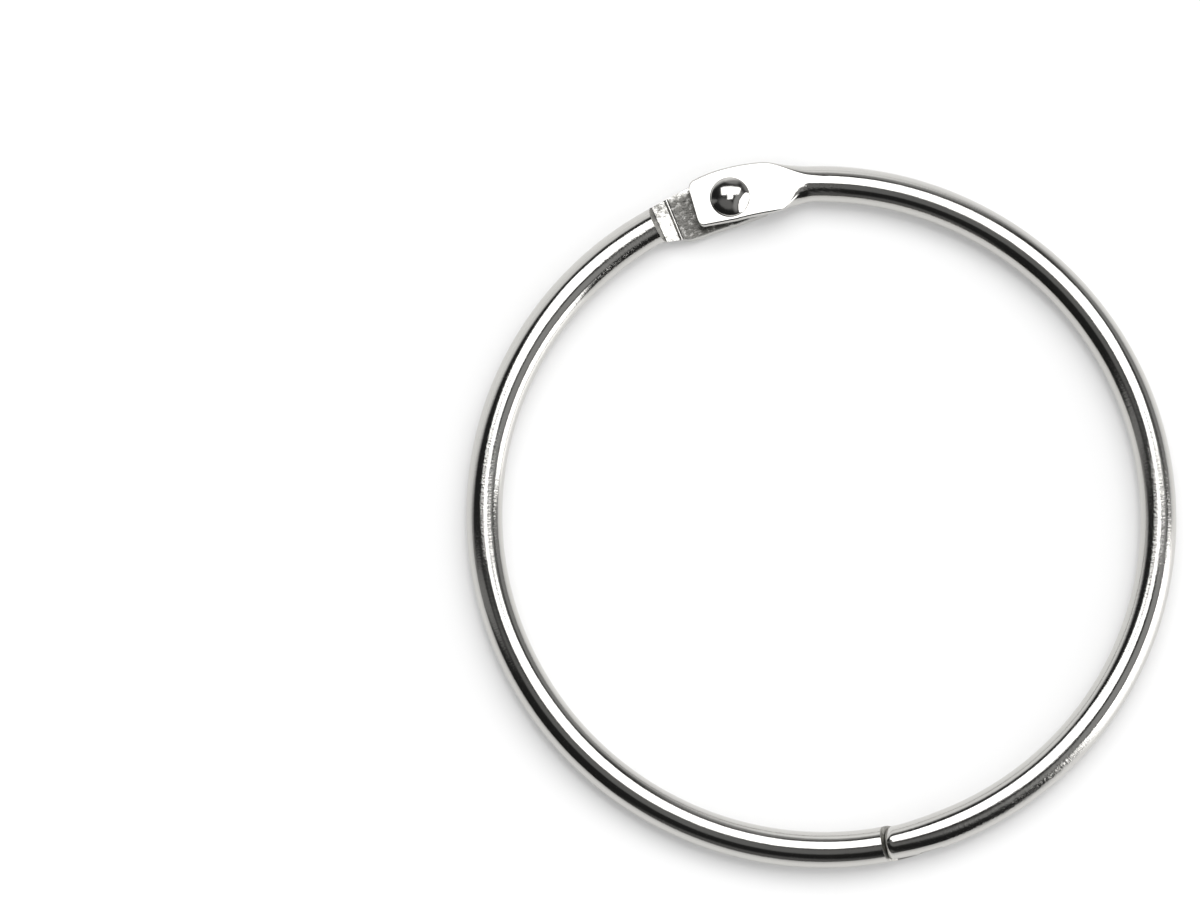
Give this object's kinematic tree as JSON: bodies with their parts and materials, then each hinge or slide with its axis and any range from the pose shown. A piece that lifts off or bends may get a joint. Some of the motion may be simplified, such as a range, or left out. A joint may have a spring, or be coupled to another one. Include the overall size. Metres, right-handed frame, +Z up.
{
  "type": "hinged book ring",
  "caption": "Hinged wire book ring: two lapped nickel-plated half rings that turn on a domed rivet and snap together with hooked tips.",
  "frame": {"origin": "centre of the closed ring, on the surface that it lies on", "axes": "+Z up, square to the ring; +Y from the snap closure towards the hinge"},
  "size_m": [0.0568, 0.0574, 0.0038],
  "materials": {
    "wire_nickel": "bright nickel plate over drawn steel wire, with fine lengthwise draw marks and dull sheared faces at the laps",
    "rivet_nickel": "bright nickel plate, tumbled smooth on the domed head"
  },
  "bodies": {
    "lower_body": {"lower_half": "wire_nickel", "hinge_rivet": "rivet_nickel"},
    "upper_body": {"upper_half": "wire_nickel"}
  },
  "joints": [
    {"name": "hinge_swing", "type": "hinge", "parent": "lower_body", "child": "upper_body", "pos_m": [0, 0.02663, 0.00165], "axis": [0, 0, 1], "range_deg": [0, 155]}
  ]
}
